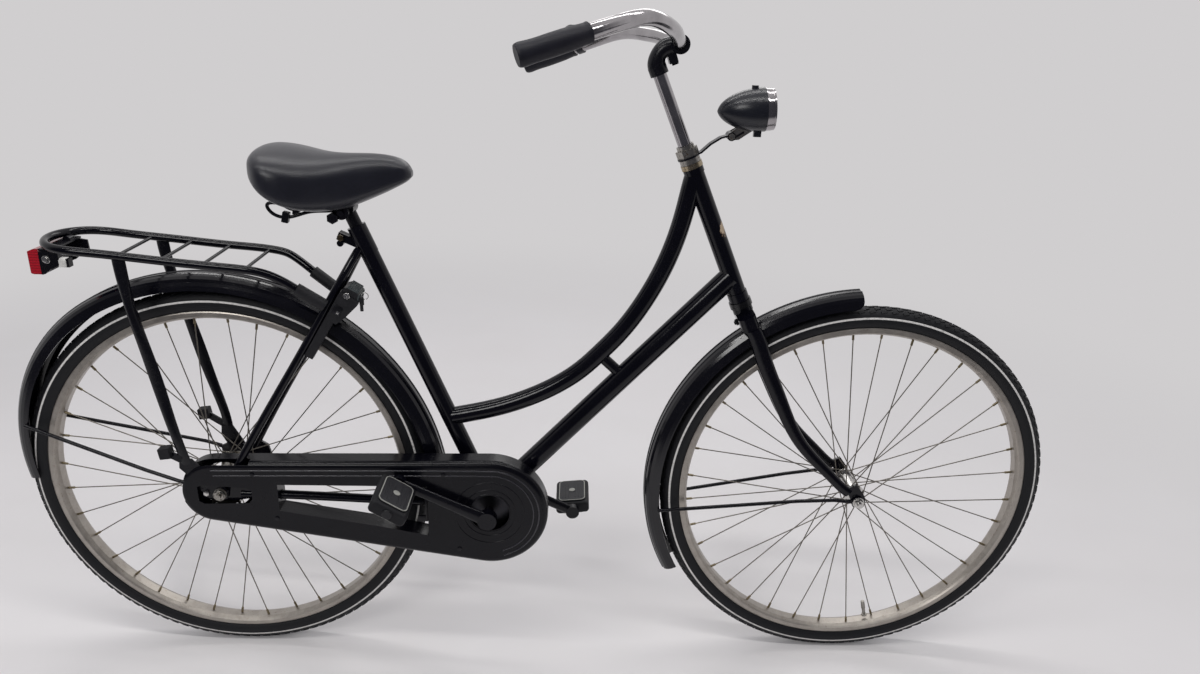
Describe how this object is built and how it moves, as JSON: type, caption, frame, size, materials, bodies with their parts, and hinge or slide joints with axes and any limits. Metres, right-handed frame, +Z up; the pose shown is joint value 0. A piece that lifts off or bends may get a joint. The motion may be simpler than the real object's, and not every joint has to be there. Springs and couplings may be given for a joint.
{
  "type": "city bicycle",
  "caption": "Upright city bicycle with a curved step-through loop frame, full chain case, mudguards, rear carrier, swept-back bar and front lamp.",
  "frame": {"origin": "the rider mount, on the middle of the saddle top", "axes": "+X forward along the bicycle, +Y to the rider's left, +Z up"},
  "size_m": [1.8714, 0.5981, 1.1868],
  "materials": {
    "black_paint": "gloss",
    "plated_steel": "polished",
    "rim_steel": "satin",
    "spoke_steel": "dull",
    "tyre_rubber": "matte",
    "grip_rubber": "matte",
    "saddle_vinyl": "satin",
    "stem_plastic": "matte",
    "red_lens": "gloss",
    "clear_lens": "clear"
  },
  "bodies": {
    "frame": {"head_tube": "black_paint", "headset_cups": "plated_steel", "loop_top_tube": "black_paint", "down_tube": "black_paint", "seat_tube": "black_paint", "bottom_bracket_shell": "black_paint", "chain_stays": "black_paint", "seat_stays": "black_paint", "rear_dropouts": "black_paint", "seat_post": "black_paint", "saddle_clamp": "black_paint", "saddle_rails": "black_paint", "saddle_cover": "saddle_vinyl", "carrier_rail": "black_paint", "carrier_bars": "black_paint", "carrier_legs": "black_paint", "carrier_sleeves": "grip_rubber", "strap_hooks": "grip_rubber", "tail_light_bracket": "black_paint", "tail_light": "red_lens", "ring_lock": "stem_plastic", "chain_case": "black_paint", "rear_axle": "plated_steel", "rear_mudguard": "black_paint", "rear_guard_stays": "black_paint"},
    "steering": {"fork_crown": "black_paint", "fork_blades": "black_paint", "headset_nuts": "plated_steel", "stem_quill": "plated_steel", "stem_clamp": "stem_plastic", "handlebar": "plated_steel", "grips": "grip_rubber", "bell": "black_paint", "lamp_bracket": "black_paint", "headlamp_shell": "black_paint", "headlamp_rim": "plated_steel", "headlamp_lens": "clear_lens", "front_axle": "plated_steel", "front_mudguard": "black_paint", "front_guard_stays": "black_paint"},
    "front_wheel": {"front_tyre": "tyre_rubber", "front_rim": "rim_steel", "front_hub": "plated_steel", "front_spokes": "spoke_steel"},
    "rear_wheel": {"rear_tyre": "tyre_rubber", "rear_rim": "rim_steel", "rear_hub": "plated_steel", "rear_spokes": "spoke_steel", "rear_sprocket": "plated_steel"},
    "cranks": {"bracket_spindle": "black_paint", "chainring": "black_paint", "right_crank": "black_paint", "left_crank": "black_paint", "pedal_pins": "plated_steel"},
    "pedal_right": {"right_pedal": "grip_rubber"},
    "pedal_left": {"left_pedal": "grip_rubber"}
  },
  "joints": [
    {"name": "steer", "type": "hinge", "parent": "frame", "child": "steering", "pos_m": [0.71288, 0, -0.14447], "axis": [-0.3987, 0, 0.9171], "range_deg": [-70, 70]},
    {"name": "front_wheel_spin", "type": "hinge", "parent": "steering", "child": "front_wheel", "pos_m": [0.996, 0, -0.603], "axis": [0, 1, 0], "continuous": true},
    {"name": "rear_wheel_spin", "type": "hinge", "parent": "frame", "child": "rear_wheel", "pos_m": [-0.15, 0, -0.603], "axis": [0, 1, 0], "continuous": true},
    {"name": "crank_spin", "type": "hinge", "parent": "frame", "child": "cranks", "pos_m": [0.322, 0, -0.638], "axis": [0, 1, 0], "continuous": true},
    {"name": "right_pedal_spin", "type": "hinge", "parent": "cranks", "child": "pedal_right", "pos_m": [0.16856, -0.14, -0.56481], "axis": [0, 1, 0], "continuous": true},
    {"name": "left_pedal_spin", "type": "hinge", "parent": "cranks", "child": "pedal_left", "pos_m": [0.47544, 0.126, -0.71119], "axis": [0, 1, 0], "continuous": true}
  ]
}
